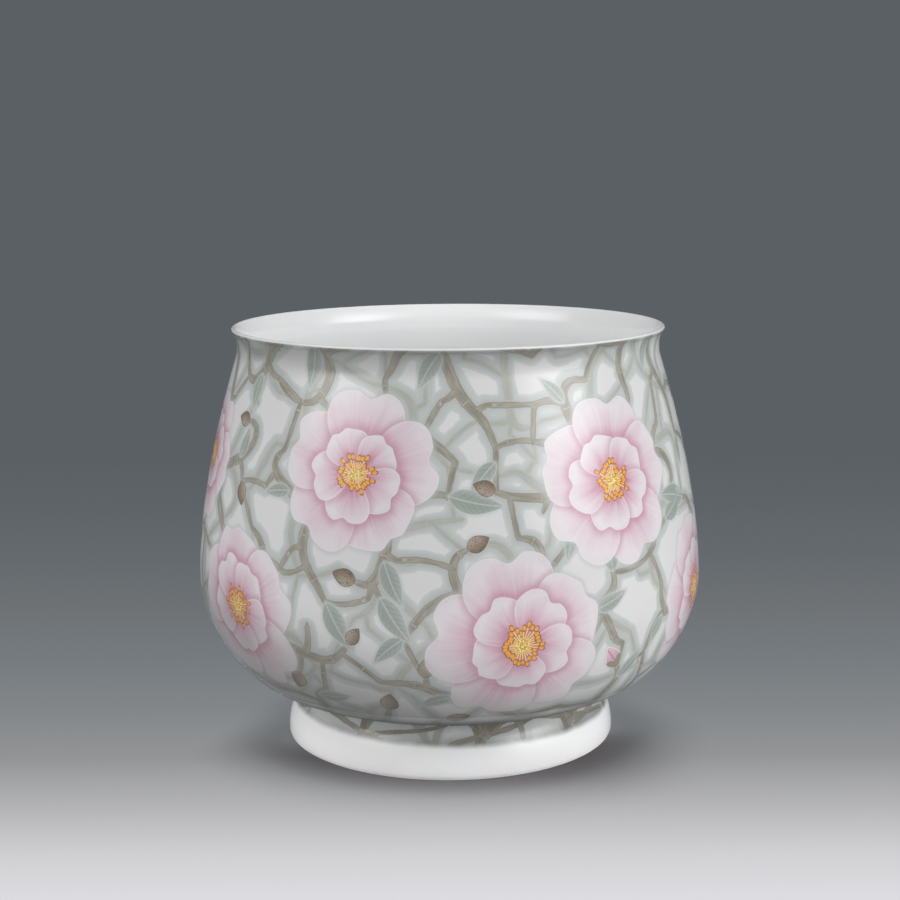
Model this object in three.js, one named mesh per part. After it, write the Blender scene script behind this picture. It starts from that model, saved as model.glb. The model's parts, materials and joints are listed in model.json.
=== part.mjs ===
import * as THREE from "three";

// A footed porcelain bowl of full, rounded form with a drawn-in neck and a small rolled lip.
// It is turned in two sections: the bowl, and the foot ring that it is luted onto with a bed of
// slip. Four coats of glaze cover it inside, outside, round the foot and under the base, and only
// the edge that it stands on is left bare.
// Millimetres, +Z up. The origin is on the table, at the middle of the standing edge.
// Every profile is drawn in the half plane of radius and height, and revolved about the axis.

// The bowl, over its glaze
const height = 200;
const lipRadius = 103.2;
const lipRoll = 1.1;
const lipUndercut = THREE.MathUtils.degToRad(50);
const neckRadius = 100.7;
const neckDrop = 8.5;
const neckLength = 3.3;
const bellyRadius = 121.3;
const bellyHeight = 79.9;
const undersideHeight = 26.4;
const undersideRadius = 72.5;

// How far each curve of the side holds its end direction
const flankHold = 47.1;
const neckHold = 1;
const insideNeckHold = 9;
const turnHold = 15;
const undersideHold = 35.5;

// Thicknesses, and how far the inside leans out at the lip
const wall = 4.2;
const neckWall = 2.7;
const insideFlare = THREE.MathUtils.degToRad(35);
const floorThickness = 6.5;
const baseRise = 1.5;
const glaze = 0.4;
const slipBed = 0.8;

// The foot ring, over its glaze
const footRadius = 80;
const footNeckRadius = 70;
const footHold = 10.5;
const footNeckHold = { r: 5.5, z: 6.4 };
const edgeWidth = 5.6;
const edgeChamfer = 0.6;
const seatWidth = 8;
const bareBand = 1.5;
const innerBareBand = 2.5;

// Steps round the axis and along the curves
const roundSteps = 48;
const turnSteps = 6;
const flankSteps = 5;
const flareSteps = 2;
const lipSteps = 3;
const footSteps = 5;
const recessSteps = 4;

const at = (r, z) => new THREE.Vector2(r, z);

// Heights and radii that follow from the sizes above
const neckTop = height - neckDrop;
const neckBottom = neckTop - neckLength;
const lipCentre = at(lipRadius - lipRoll, height - lipRoll);
const ringOuterRadius = footRadius - glaze;
const ringInnerRadius = ringOuterRadius - edgeWidth;
const seatOuterRadius = footNeckRadius - glaze;
const seatInnerRadius = seatOuterRadius - seatWidth;
const bodyUnderside = undersideHeight + glaze;
const ringTop = bodyUnderside - slipBed;

// Joins curves end to end into one list of points. Each stretch is [curve, steps].
function trace(...stretches) {
  const points = [];
  for (const [curve, steps] of stretches) {
    const next = curve.getPoints(steps);
    points.push(...next.slice(points.length ? 1 : 0));
  }
  return points;
}

const line = (from, to) => [new THREE.LineCurve(from, to), 1];
const cubic = (a, b, c, d, steps) => [new THREE.CubicBezierCurve(a, b, c, d), steps];
const quadratic = (a, b, c, steps) => [new THREE.QuadraticBezierCurve(a, b, c), steps];

function lipArc(inset, from, to) {
  const radius = lipRoll - inset;
  return [new THREE.ArcCurve(lipCentre.x, lipCentre.y, radius, from, to, false), lipSteps];
}

// Belly and flank are shared by the outside and the inside, each at its own depth in the wall.
function turn(inset, rise) {
  const belly = at(bellyRadius - inset, bellyHeight);
  const level = at(undersideRadius, undersideHeight + rise);
  const out = at(level.x + undersideHold, level.y);
  const up = at(belly.x, belly.y - turnHold);
  return cubic(level, out, up, belly, turnSteps);
}

function flank(inset, neckInset, hold) {
  const belly = at(bellyRadius - inset, bellyHeight);
  const neck = at(neckRadius - neckInset, neckBottom);
  const up = at(belly.x, belly.y + flankHold);
  const under = at(neck.x, neck.y - hold);
  return cubic(belly, up, under, neck, flankSteps);
}

// The outside of the wall, from the foot up to the crown of the lip.
function outsideProfile(inset) {
  const start = at(footNeckRadius - inset, undersideHeight + inset);
  const level = at(undersideRadius, start.y);
  const neckLow = at(neckRadius - inset, neckBottom);
  const neckHigh = at(neckLow.x, neckTop);
  const roll = lipRoll - inset;
  const lipStart = at(
    lipCentre.x + roll * Math.cos(lipUndercut),
    lipCentre.y - roll * Math.sin(lipUndercut),
  );
  const run = (lipStart.x - neckHigh.x) / Math.tan(lipUndercut);
  const bend = at(neckHigh.x, Math.max(lipStart.y - run, neckHigh.y));
  return trace(
    line(start, level),
    turn(inset, inset),
    flank(inset, inset, neckHold),
    line(neckLow, neckHigh),
    quadratic(neckHigh, bend, lipStart, flareSteps),
    lipArc(inset, -lipUndercut, Math.PI / 2),
  );
}

// The inside of the wall, from the crown of the lip down to the middle of the floor. The depth is
// how far the surface lies behind the inside of the glaze.
function insideProfile(depth) {
  const roll = lipRoll - depth;
  const lean = Math.PI - insideFlare;
  const neckLow = at(neckRadius - neckWall + depth, neckBottom);
  const neckHigh = at(neckLow.x, neckTop);
  const lipEnd = at(lipCentre.x + roll * Math.cos(lean), lipCentre.y + roll * Math.sin(lean));
  const run = (lipEnd.x - neckHigh.x) / Math.tan(insideFlare);
  const bend = at(neckHigh.x, Math.max(lipEnd.y - run, neckHigh.y));
  const rise = floorThickness - depth;
  const level = at(undersideRadius, undersideHeight + rise);
  const fromFloor = trace(
    line(at(0, level.y), level),
    turn(wall - depth, rise),
    flank(wall - depth, neckWall - depth, insideNeckHold),
    line(neckLow, neckHigh),
  );
  return [
    ...trace(lipArc(depth, Math.PI / 2, lean), quadratic(lipEnd, bend, neckHigh, flareSteps)),
    ...fromFloor.reverse().slice(1),
  ];
}

// The outer face of the foot, from the top of the bare band to the height where it ends.
function footProfile(inset, bottom, top) {
  const low = at(footRadius - inset, bottom);
  const high = at(footNeckRadius - inset, top);
  const up = at(low.x, low.y + footHold);
  const under = at(high.x + footNeckHold.r, high.y - footNeckHold.z);
  return trace(cubic(low, up, under, high, footSteps));
}

// The inner face of the foot, leaning in under the bowl.
function recessProfile(inset, bottom, top) {
  const low = at(ringInnerRadius - inset, bottom);
  const high = at(seatInnerRadius - inset, top);
  const up = at(low.x, low.y + footHold);
  const under = at(high.x + footNeckHold.r, high.y - footNeckHold.z);
  return trace(cubic(low, up, under, high, recessSteps));
}

// Surfaces that two pieces share
const bodyOutside = outsideProfile(glaze);
const bodyInside = insideProfile(glaze);
const ringOutside = footProfile(glaze, bareBand, ringTop);
const ringInside = recessProfile(0, innerBareBand, ringTop);
const baseMiddle = at(0, bodyUnderside + baseRise);
const seatInnerTop = at(seatInnerRadius, bodyUnderside);
const seatOuterTop = at(seatOuterRadius, bodyUnderside);

// A face between two columns is split by the same diagonal whichever way its profile runs, so
// that a body and its glaze have the same triangles on the surface where they meet.
function splitAlike(geometry, profile) {
  const rows = profile.length;
  const index = [];
  for (let column = 0; column < roundSteps; column++) {
    for (let row = 0; row < rows - 1; row++) {
      const here = column * rows + row;
      const beside = here + rows;
      const step = profile[row + 1].clone().sub(profile[row]);
      const rises = step.y > 0 || (step.y === 0 && step.x > 0);
      if (rises) index.push(here, beside, here + 1, beside + 1, here + 1, beside);
      else index.push(here, beside, beside + 1, here, beside + 1, here + 1);
    }
  }
  geometry.setIndex(index);
}

// Revolves a profile about +Z. Profiles run anticlockwise, so that faces look outwards.
function turned(name, profile, material) {
  const geometry = new THREE.LatheGeometry(profile, roundSteps);
  splitAlike(geometry, profile);
  geometry.rotateX(Math.PI / 2);
  const mesh = new THREE.Mesh(geometry, material);
  mesh.name = name;
  return mesh;
}

const closed = (points) => [...points, points[0]];
const backwards = (points) => [...points].reverse();

const fired = (color, roughness) => new THREE.MeshStandardMaterial({ color, roughness, metalness: 0 });
const biscuit = fired(0xe9e5dc, 0.75);
const slip = fired(0xe4dfd4, 0.8);
const whiteGlaze = fired(0xe6e7e6, 0.12);
const groundGlaze = fired(0xc8d0cd, 0.12);

function bowlBody() {
  return turned("bowl_body", [baseMiddle, seatInnerTop, ...bodyOutside, ...bodyInside.slice(1)], biscuit);
}

function footRing() {
  const edge = [
    at(ringInnerRadius, edgeChamfer),
    at(ringInnerRadius + edgeChamfer, 0),
    at(ringOuterRadius - edgeChamfer, 0),
    at(ringOuterRadius, edgeChamfer),
  ];
  return turned("foot_ring", closed([...edge, ...ringOutside, ...backwards(ringInside)]), biscuit);
}

function lutingSlip() {
  const low = [at(seatInnerRadius, ringTop), at(seatOuterRadius, ringTop)];
  return turned("luting_slip", closed([...low, seatOuterTop, seatInnerTop]), slip);
}

function outsideGlaze() {
  return turned("outside_glaze", closed([...outsideProfile(0), ...backwards(bodyOutside)]), groundGlaze);
}

function insideGlaze() {
  return turned("inside_glaze", [...backwards(bodyInside), ...insideProfile(0)], whiteGlaze);
}

function footGlaze() {
  const skin = footProfile(0, bareBand + glaze, undersideHeight);
  return turned("foot_glaze", closed([...skin, seatOuterTop, ...backwards(ringOutside)]), whiteGlaze);
}

function baseGlaze() {
  const skin = backwards(recessProfile(glaze, innerBareBand + glaze, undersideHeight));
  const skinMiddle = at(0, undersideHeight + baseRise);
  const profile = [skinMiddle, ...skin, ...ringInside, seatInnerTop, baseMiddle];
  return turned("base_glaze", profile, whiteGlaze);
}

const bowl = new THREE.Group();
bowl.add(bowlBody(), footRing(), lutingSlip());
bowl.add(outsideGlaze(), insideGlaze(), footGlaze(), baseGlaze());

export default bowl;
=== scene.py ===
# %% [markdown]
# # A footed porcelain bowl, painted and glazed
# A deep porcelain bowl stands on a flared foot ring. It is turned in two sections, joined with slip,
# painted all over with blossoming twigs, and covered by clear glaze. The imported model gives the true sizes
# of its seven pieces. Here each is turned again from the same curves in fine steps, and gets its finish.

import json
import math

import bpy
import numpy as np
from mathutils import Euler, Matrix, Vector, kdtree

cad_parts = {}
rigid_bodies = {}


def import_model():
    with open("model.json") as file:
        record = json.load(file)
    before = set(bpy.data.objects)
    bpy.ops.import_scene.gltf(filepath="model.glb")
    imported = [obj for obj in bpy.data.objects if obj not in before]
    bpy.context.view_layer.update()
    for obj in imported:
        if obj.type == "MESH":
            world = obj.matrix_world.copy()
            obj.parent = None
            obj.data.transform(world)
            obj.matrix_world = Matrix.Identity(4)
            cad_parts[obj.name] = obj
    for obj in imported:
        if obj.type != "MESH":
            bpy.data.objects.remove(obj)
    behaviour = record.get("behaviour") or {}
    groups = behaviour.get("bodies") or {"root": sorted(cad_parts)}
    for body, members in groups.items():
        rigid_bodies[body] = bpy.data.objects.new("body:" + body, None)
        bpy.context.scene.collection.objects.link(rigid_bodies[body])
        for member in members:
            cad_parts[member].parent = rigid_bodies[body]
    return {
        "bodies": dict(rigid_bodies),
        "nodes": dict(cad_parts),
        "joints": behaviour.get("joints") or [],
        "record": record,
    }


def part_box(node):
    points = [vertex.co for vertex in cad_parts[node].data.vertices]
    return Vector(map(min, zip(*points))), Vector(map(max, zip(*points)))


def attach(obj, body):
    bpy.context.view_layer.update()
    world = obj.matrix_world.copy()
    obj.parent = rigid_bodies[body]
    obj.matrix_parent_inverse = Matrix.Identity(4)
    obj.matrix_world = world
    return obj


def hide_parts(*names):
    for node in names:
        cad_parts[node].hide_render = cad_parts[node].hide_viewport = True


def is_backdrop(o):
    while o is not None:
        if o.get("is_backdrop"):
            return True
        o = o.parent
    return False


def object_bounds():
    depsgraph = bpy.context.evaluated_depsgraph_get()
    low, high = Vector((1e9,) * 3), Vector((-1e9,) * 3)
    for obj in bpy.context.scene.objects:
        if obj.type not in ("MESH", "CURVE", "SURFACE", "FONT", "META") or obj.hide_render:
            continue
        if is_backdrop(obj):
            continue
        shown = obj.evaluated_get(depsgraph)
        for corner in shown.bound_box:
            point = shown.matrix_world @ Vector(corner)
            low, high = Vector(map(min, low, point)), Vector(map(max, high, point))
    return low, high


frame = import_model()
cad_low, cad_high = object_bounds()
print("the packed bowl measures", [round(size, 4) for size in cad_high - cad_low], "metres")

# %% [markdown]
# ## The camera
# The picture looks down on the bowl from a little above its lip. The place and the lens follow from how
# flat the ellipses of lip and foot appear: the higher the camera, the rounder they are. A small roll
# levels the bowl.

# %% Place the camera
scene = bpy.context.scene
camera_place = (0.00063, -0.80883, 0.28368)
camera_dip = math.radians(10.19)
camera_roll = math.radians(-0.356)
camera_lens = 67.65


def add_object(name, data):
    thing = bpy.data.objects.new(name, data)
    scene.collection.objects.link(thing)
    return thing


camera_data = bpy.data.cameras.new("camera")
camera_data.lens = camera_lens
camera = add_object("camera", camera_data)
looking_down = Euler((math.pi / 2 - camera_dip, 0, 0)).to_matrix()
rolled = Euler((0, 0, camera_roll)).to_matrix()
camera.matrix_world = (looking_down @ rolled).to_4x4()
camera.location = camera_place
scene.camera = camera
scene.view_settings.view_transform = "Standard"
print("the camera is", round(Vector(camera_place).length, 3), "metres from the bowl's foot")

# %% [markdown]
# ## Formulas as nodes
# A procedural finish is a formula worked out at each point of a surface, and Blender writes formulas as
# nodes. This small class lets one be written as plain arithmetic: each sum, product or power of a Value
# adds one Math node.

# %% A value that changes over a surface
def by_node(operation):
    """Makes a method of Value that adds one Math node."""
    return lambda value, *others: value.math(operation, *others)


class Value:
    """A number, vector or colour in a node tree, which formulas are written with."""

    def __init__(self, tree, socket):
        self.tree = tree
        self.socket = socket

    def math(self, operation, *others):
        return made(self.tree, "ShaderNodeMath", dict(enumerate((self, *others))), operation=operation)

    def __rsub__(self, other):
        return self * -1.0 + other

    __add__ = __radd__ = by_node("ADD")
    __sub__ = by_node("SUBTRACT")
    __mul__ = __rmul__ = by_node("MULTIPLY")
    __truediv__ = by_node("DIVIDE")
    __pow__ = by_node("POWER")
    __abs__ = by_node("ABSOLUTE")
    at_least = by_node("MAXIMUM")
    at_most = by_node("MINIMUM")
    sine = by_node("SINE")
    whole = by_node("FLOOR")
    fraction = by_node("FRACT")


def feed(node, inputs):
    """Links Values to the inputs of a node, and writes plain numbers and colours into them."""
    for place, value in inputs.items():
        if isinstance(value, Value):
            value.tree.links.new(value.socket, node.inputs[place])
        else:
            node.inputs[place].default_value = value


def made(tree, kind, inputs, output=0, **settings):
    """Adds a node to a tree, sets and feeds it, and gives one of its outputs, or with None all."""
    node = tree.nodes.new(kind)
    for name, setting in settings.items():
        setattr(node, name, setting)
    feed(node, inputs)
    if output is None:
        return [Value(tree, socket) for socket in node.outputs]
    return Value(tree, node.outputs[output])


def srgb(red, green, blue):
    """A colour as a paint chart gives it, 0 to 255, in the linear numbers that shaders use."""
    shares = [part / 255 for part in (red, green, blue)]
    linear = [s / 12.92 if s <= 0.04045 else ((s + 0.055) / 1.055) ** 2.4 for s in shares]
    return (*linear, 1.0)


# %% Steps, mixes and noise
def step_between(value, low, high):
    """0 up to low, 1 from high on, and a soft slope between them. low may lie above high."""
    ends = {"Value": value, "From Min": low, "From Max": high}
    return made(value.tree, "ShaderNodeMapRange", ends, "Result", interpolation_type="SMOOTHSTEP")


def between(low, high, share):
    """A number that goes from low to high as share goes from 0 to 1."""
    return made(share.tree, "ShaderNodeMix", {0: share, 2: low, 3: high})


def lay_over(under, over, cover):
    """The colour over, laid on the colour under where cover is 1."""
    return made(cover.tree, "ShaderNodeMix", {0: cover, 6: under, 7: over}, 2, data_type="RGBA")


def layers(colour, *coats):
    """Lays coats over a colour one after another. Each coat is its colour and its cover."""
    for over, cover in coats:
        colour = lay_over(colour, over, cover)
    return colour


def colour_steps(share, stops):
    """A colour read from stops of (share, colour)."""
    node = share.tree.nodes.new("ShaderNodeValToRGB")
    elements = node.color_ramp.elements
    while len(elements) < len(stops):
        elements.new(1.0)
    for element, (place, colour) in zip(elements, stops):
        element.position = place
        element.color = colour
    feed(node, {"Fac": share})
    return Value(share.tree, node.outputs["Color"])


def cloud(vector, scale, detail=2.0, roughness=0.5):
    """Soft noise from 0 to 1, with about scale lumps to each unit of the vector."""
    inputs = {"Vector": vector, "Scale": scale, "Detail": detail, "Roughness": roughness}
    return made(vector.tree, "ShaderNodeTexNoise", inputs, "Fac")


def chance(number):
    """A fixed random share from 0 to 1 for each whole number."""
    return made(number.tree, "ShaderNodeTexWhiteNoise", {"W": number}, "Value", noise_dimensions="1D")


def joined(x, y, z):
    """A vector from three numbers, the first of them a Value."""
    return made(x.tree, "ShaderNodeCombineXYZ", {0: x, 1: y, 2: z})


def split(vector):
    """The three numbers of a vector."""
    return made(vector.tree, "ShaderNodeSeparateXYZ", {0: vector}, None)


def length_of(x, y):
    return (x * x + y * y) ** 0.5


def bumped(height, depth):
    """The normals of a surface that height raises by up to depth metres."""
    return made(height.tree, "ShaderNodeBump", {"Distance": depth, "Height": height}, "Normal")


# %% Node groups and materials
NUMBER = "NodeSocketFloat"
VECTOR = "NodeSocketVector"
COLOUR = "NodeSocketColor"


def open_group(name, inputs, outputs):
    """A new node group with named sockets: its tree, its inputs as Values, and its output node."""
    tree = bpy.data.node_groups.new(name, "ShaderNodeTree")
    for side, sockets in (("INPUT", inputs), ("OUTPUT", outputs)):
        for label, kind in sockets.items():
            tree.interface.new_socket(label, in_out=side, socket_type=kind)
    given = tree.nodes.new("NodeGroupInput")
    result = tree.nodes.new("NodeGroupOutput")
    return tree, [Value(tree, given.outputs[label]) for label in inputs], result


def use_group(tree, group, **inputs):
    """Puts a node group into a tree with its own values, and gives its outputs as Values."""
    node = tree.nodes.new("ShaderNodeGroup")
    node.node_tree = group
    feed(node, {label.replace("_", " "): value for label, value in inputs.items()})
    return {output.name: Value(tree, output) for output in node.outputs}


def open_material(name, *pieces):
    """Gives pieces a new material, and returns its shader and the place of a point in metres."""
    material = bpy.data.materials.new(name)
    material.use_nodes = True
    for piece in pieces:
        piece.data.materials.append(material)
    tree = material.node_tree
    return tree.nodes["Principled BSDF"], made(tree, "ShaderNodeTexCoord", {}, "Object")


# %% [markdown]
# ## The stage
# The bowl stands on a smooth sheet that is pale in front and falls into dark slate behind, as a ramp of
# colour along the floor. Round the foot the floor is an ordinary matt surface, so it takes the shadow of
# the bowl, open behind. A painted shadow is also laid into the sheet's colour: a soft ring round the
# front of the foot and a darker patch in front on the right. Further out the camera sees the ramp's own
# colour, which meets the slate of the world with no line.

# %% Floor and world
slate = srgb(91, 96, 100)
floor_half = 4.0
floor_colours = (
    (-0.300, srgb(228, 227, 231)),
    (-0.202, srgb(221, 220, 225)),
    (-0.163, srgb(209, 209, 211)),
    (-0.110, srgb(180, 180, 182)),
    (-0.048, srgb(147, 148, 150)),
    (0.024, srgb(130, 134, 137)),
    (0.111, srgb(118, 123, 127)),
    (0.216, srgb(110, 114, 117)),
    (0.347, srgb(101, 106, 110)),
    (0.515, srgb(95, 100, 104)),
    (0.736, slate),
)
all_slate = (0.8, 1.5)
floor_gain = 1.15
# The next values paint a shadow into the sheet's own colour: a soft ring round the front of the foot, and a
# darker patch in front on the right.
painted_shadow_colour = srgb(54, 38, 42)
painted_shadow_middle = (0.066, -0.062)
painted_shadow_reach = 0.058
painted_shadow_share = 0.24
painted_contact_ends = (0.107, 0.079)
painted_contact_front = (-0.012, -0.045)
painted_contact_slant = -0.1
painted_contact_share = 0.50
shadow_ends = (0.088, 0.135)
open_behind = (-0.020, 0.040)
open_slant = 0.25
open_gain = 0.024
room_light = (0.13, 0.13, 0.13, 1.0)


def is_seen(tree):
    """1 where the camera or a reflection looks, and 0 for the light that surfaces share."""
    node = tree.nodes.new("ShaderNodeLightPath")
    rays = [Value(tree, node.outputs[f"Is {kind} Ray"]) for kind in ("Camera", "Glossy", "Transmission")]
    return rays[0].at_least(rays[1]).at_least(rays[2])


def make_floor():
    mesh = bpy.data.meshes.new("floor")
    corners = [(x * floor_half, y * floor_half, 0) for x, y in ((-1, -1), (1, -1), (1, 1), (-1, 1))]
    mesh.from_pydata(corners, [], [(0, 1, 2, 3)])
    floor = add_object("floor", mesh)
    shader, place = open_material("studio sheet", floor)
    tree = place.tree
    x, y, z = split(place)
    distance = length_of(x, y)
    front, back = floor_colours[0][0], floor_colours[-1][0]
    stops = [((level - front) / (back - front), colour) for level, colour in floor_colours]
    # The painted shadow: the patch in front on the right here, and the ring round the front of the foot
    # below.
    from_painted_shadow = length_of(x - painted_shadow_middle[0], y - painted_shadow_middle[1])
    sheet = layers(
        colour_steps((y - front) / (back - front), stops),
        (slate, step_between(distance, *all_slate)),
        (painted_shadow_colour, step_between(from_painted_shadow, painted_shadow_reach, 0.0) * painted_shadow_share),
    )
    in_front = step_between(y + x * painted_contact_slant, *painted_contact_front)
    with_painted_shadow = lay_over(sheet, painted_shadow_colour, step_between(distance, *painted_contact_ends) * in_front * painted_contact_share)
    gained = made(tree, "ShaderNodeVectorMath", {0: with_painted_shadow, "Scale": floor_gain}, operation="SCALE")
    grain = between(0.75, 0.9, cloud(place, 900.0))
    feed(shader, {"Base Color": gained, "Roughness": grain, "Specular IOR Level": 0.0})
    leftwards = (x * -1.0).at_least(0.0)
    behind = step_between(y + leftwards * open_slant, *open_behind) * open_gain
    far = step_between(distance + behind, *shadow_ends) * is_seen(tree)
    matt = Value(tree, shader.outputs["BSDF"])
    glowing = made(tree, "ShaderNodeEmission", {"Color": sheet})
    mixed = made(tree, "ShaderNodeMixShader", {0: far, 1: matt, 2: glowing})
    feed(tree.nodes["Material Output"], {"Surface": mixed})
    return floor


floor = make_floor()
floor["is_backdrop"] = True

world = bpy.data.worlds.new("slate room")
world.use_nodes = True
scene.world = world
world_colour = lay_over(room_light, slate, is_seen(world.node_tree))
feed(world.node_tree.nodes["Background"], {"Color": world_colour})
print("the floor is", 2 * floor_half, "metres wide")

# %% [markdown]
# ## The lamps
# Two large soft boxes stand to the left and right of the camera, the right one stronger. They show again
# as soft patches on the flank and inside the back of the lip. A faint one hangs overhead, and one behind
# the bowl lights its back. Two cards stand at the sides, and three strips with narrow grids light only the
# foot. The back box, the cards and the strips don't show in the glaze. The cloth of a real soft box glows
# most in the middle, so each lamp fades towards its edges, and so does its reflection.

# %% Soft boxes
bowl_middle = (0, 0, 0.12)
foot_aim = (0, 0, 0.010)
strip_distance = 0.95
strip_drop = (0, 0, 0.08)
strip_size = (0.5, 0.05)
strip_fade = 0.3
strip_grid = math.radians(9)
boxes = (
    ("left_box", -58, 30, 1.3, (1.45, 1.6), 1.28, 0.45, True),
    ("right_box", 58, 24, 1.3, (1.45, 1.6), 1.72, 0.45, True),
    ("top_box", 0, 86, 1.4, (1.6, 1.6), 0.10, 0.3, True),
    ("back_box", 180, 32, 1.4, (1.6, 1.2), 1.3, 0.45, False),
    ("left_card", -86, 0, 0.95, (0.5, 0.25), 1.75, 0.3, False),
    ("right_card", 78, 0, 0.95, (0.5, 0.25), 2.05, 0.3, False),
)
strips = (("left_strip", -68, 0.095), ("front_strip", 8, 0.010), ("right_strip", 64, 0.075))


def around_bowl(turn, lift, distance):
    """A place seen from the middle of the bowl, at an angle round from the front and an angle up."""
    turn, lift = math.radians(turn), math.radians(lift)
    level = distance * math.cos(lift)
    high = bowl_middle[2] + distance * math.sin(lift)
    return Vector((level * math.sin(turn), -level * math.cos(turn), high))


def soft_box(name, place, target, size, glow, fade, in_glaze):
    """An area lamp whose glow fades to nothing over a share, fade, of its size at each edge."""
    lamp = bpy.data.lights.new(name, "AREA")
    lamp.shape = "RECTANGLE"
    lamp.size, lamp.size_y = size
    lamp.energy = glow * math.pi**2 * size[0] * size[1]
    lamp.use_nodes = True
    tree = lamp.node_tree
    level = 1.0
    for across in split(made(tree, "ShaderNodeNewGeometry", {}, "Parametric"))[:2]:
        level = step_between(0.5 - abs(across - 0.5), 0.0, fade) * level
    feed(tree.nodes["Emission"], {"Strength": level})
    box = add_object(name, lamp)
    box.location = place
    box.rotation_euler = (Vector(target) - place).to_track_quat("-Z", "Y").to_euler()
    box.visible_glossy = in_glaze
    return lamp


for name, turn, lift, distance, size, glow, fade, in_glaze in boxes:
    soft_box(name, around_bowl(turn, lift, distance), bowl_middle, size, glow, fade, in_glaze)
for name, turn, glow in strips:
    near_floor = around_bowl(turn, 0, strip_distance) - Vector(strip_drop)
    soft_box(name, near_floor, foot_aim, strip_size, glow, strip_fade, False).spread = strip_grid
print(len(boxes), "soft boxes and cards and", len(strips), "strips light the bowl")

# %% [markdown]
# ## The outline of the bowl
# A turned pot is one outline swung about its axis, so the outline is all that has to be drawn. It is made
# of a few long curves: one from the foot under the belly, one up the flank to the neck, and the small
# flare and roll of the lip. Each is given by its ends and by how far it holds its direction. Lengths here
# are in millimetres, as radius and height.

# %% Sizes
mm = 0.001


def reach_of(node, axis, side=1):
    """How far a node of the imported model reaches, in millimetres."""
    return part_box(node)[side][axis] / mm


height = reach_of("outside_glaze", 2)
belly_radius = reach_of("outside_glaze", 0)
underside_height = reach_of("outside_glaze", 2, side=0)
foot_radius = reach_of("foot_glaze", 0)
glaze = foot_radius - reach_of("foot_ring", 0)
foot_neck_radius = reach_of("luting_slip", 0) + glaze
slip_low = reach_of("luting_slip", 2, side=0)
bare_band = reach_of("foot_glaze", 2, side=0) - glaze
inner_bare_band = reach_of("base_glaze", 2, side=0) - glaze

lip_radius = 103.2
lip_roll = 1.1
lip_undercut = math.radians(50)
neck_radius = 100.7
neck_drop = 8.5
neck_length = 3.3
belly_height = 79.9
underside_radius = 72.5
flank_hold = 47.1
neck_hold = 1.0
inside_neck_hold = 9.0
turn_hold = 15.0
underside_hold = 35.5
wall = 4.2
neck_wall = 2.7
inside_flare = math.radians(35)
floor_thickness = 6.5
base_rise = 1.5
foot_hold = 10.5
foot_neck_hold = np.array((5.5, -6.4))
edge_width = 5.6
edge_round = 0.6
seat_width = 8.0

neck_top = height - neck_drop
neck_bottom = neck_top - neck_length
lip_centre = (lip_radius - lip_roll, height - lip_roll)
ring_outer = foot_radius - glaze
ring_inner = ring_outer - edge_width
seat_outer = foot_neck_radius - glaze
seat_inner = seat_outer - seat_width
body_underside = underside_height + glaze
widths = [round(2 * radius, 1) for radius in (lip_radius, belly_radius, foot_radius)]
print("lip, belly and foot are", widths, "mm across")


# %% Curves
def curve(steps, *points):
    """Leaves its first point towards the second, and comes to the last from the one before it."""
    share = np.linspace(0, 1, steps + 1)[:, None]
    last = len(points) - 1
    pulls = [math.comb(last, n) * share**n * (1 - share) ** (last - n) for n in range(last + 1)]
    return sum(pull * np.asarray(point, float) for pull, point in zip(pulls, points))


def arc(centre, radius, start, end, steps):
    turn = np.linspace(start, end, steps + 1)
    return np.column_stack((centre[0] + radius * np.cos(turn), centre[1] + radius * np.sin(turn)))


def trace(first, *others):
    """Joins curves end to end into one outline."""
    return np.vstack([first] + [stretch[1:] for stretch in others])


def steps_of(fineness, full):
    return max(3, round(full * fineness))


def run_along(points):
    """How far along an outline each of its points lies."""
    return np.concatenate(([0], np.cumsum(np.linalg.norm(np.diff(points, axis=0), axis=1))))


def eased(points, low, high, reach):
    """Rounds an outline a little between two heights, as a wet fingertip does."""
    along = run_along(points)
    steps = np.linspace(-reach, reach, 41)
    weights = reach * 1.02 - abs(steps)
    weights = weights / weights.sum()
    near = along[:, None] + steps
    soft = [(np.interp(near, along, values) * weights).sum(axis=1) for values in points.T]
    inside = np.minimum(points[:, 1] - low, high - points[:, 1]) / reach
    share = np.clip(inside, 0, 1)[:, None]
    return points * (1 - share) + np.column_stack(soft) * share


# %% Outlines of the wall and the foot
neck_ease = 3.2
outer_face = np.array((foot_radius, foot_neck_radius))
inner_face = np.array((ring_inner, seat_inner))


def turn_curve(inset, rise, fineness):
    level = np.array((underside_radius, underside_height + rise))
    belly = np.array((belly_radius - inset, belly_height))
    return curve(steps_of(fineness, 60), level, level + (underside_hold, 0), belly - (0, turn_hold), belly)


def flank_curve(inset, neck_inset, hold, fineness):
    belly = np.array((belly_radius - inset, belly_height))
    neck = np.array((neck_radius - neck_inset, neck_bottom))
    return curve(steps_of(fineness, 76), belly, belly + (0, flank_hold), neck - (0, hold), neck)


def lip_curve(steps, neck, roll, angle, lean):
    """From the top of the neck to where the roll of the lip begins."""
    start = lip_centre + roll * np.array((math.cos(angle), math.sin(angle)))
    bend_height = start[1] - (start[0] - neck) / math.tan(lean)
    return curve(steps, (neck, neck_top), (neck, max(bend_height, neck_top)), start)


def outside_outline(inset, fineness=1.0):
    """From the foot, under the belly and up to the crown of the lip."""
    low = underside_height + inset
    neck = neck_radius - inset
    roll = lip_roll - inset
    wall_side = trace(
        curve(2, (foot_neck_radius - inset, low), (underside_radius, low)),
        turn_curve(inset, inset, fineness),
        flank_curve(inset, inset, neck_hold, fineness),
        curve(5, (neck, neck_bottom), (neck, neck_top)),
        lip_curve(steps_of(fineness, 12), neck, roll, -lip_undercut, lip_undercut),
    )
    wall_side = eased(wall_side, neck_bottom - 3 * neck_ease, height - 2 * lip_roll, neck_ease)
    return trace(wall_side, arc(lip_centre, roll, -lip_undercut, math.pi / 2, steps_of(fineness, 14)))


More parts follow.
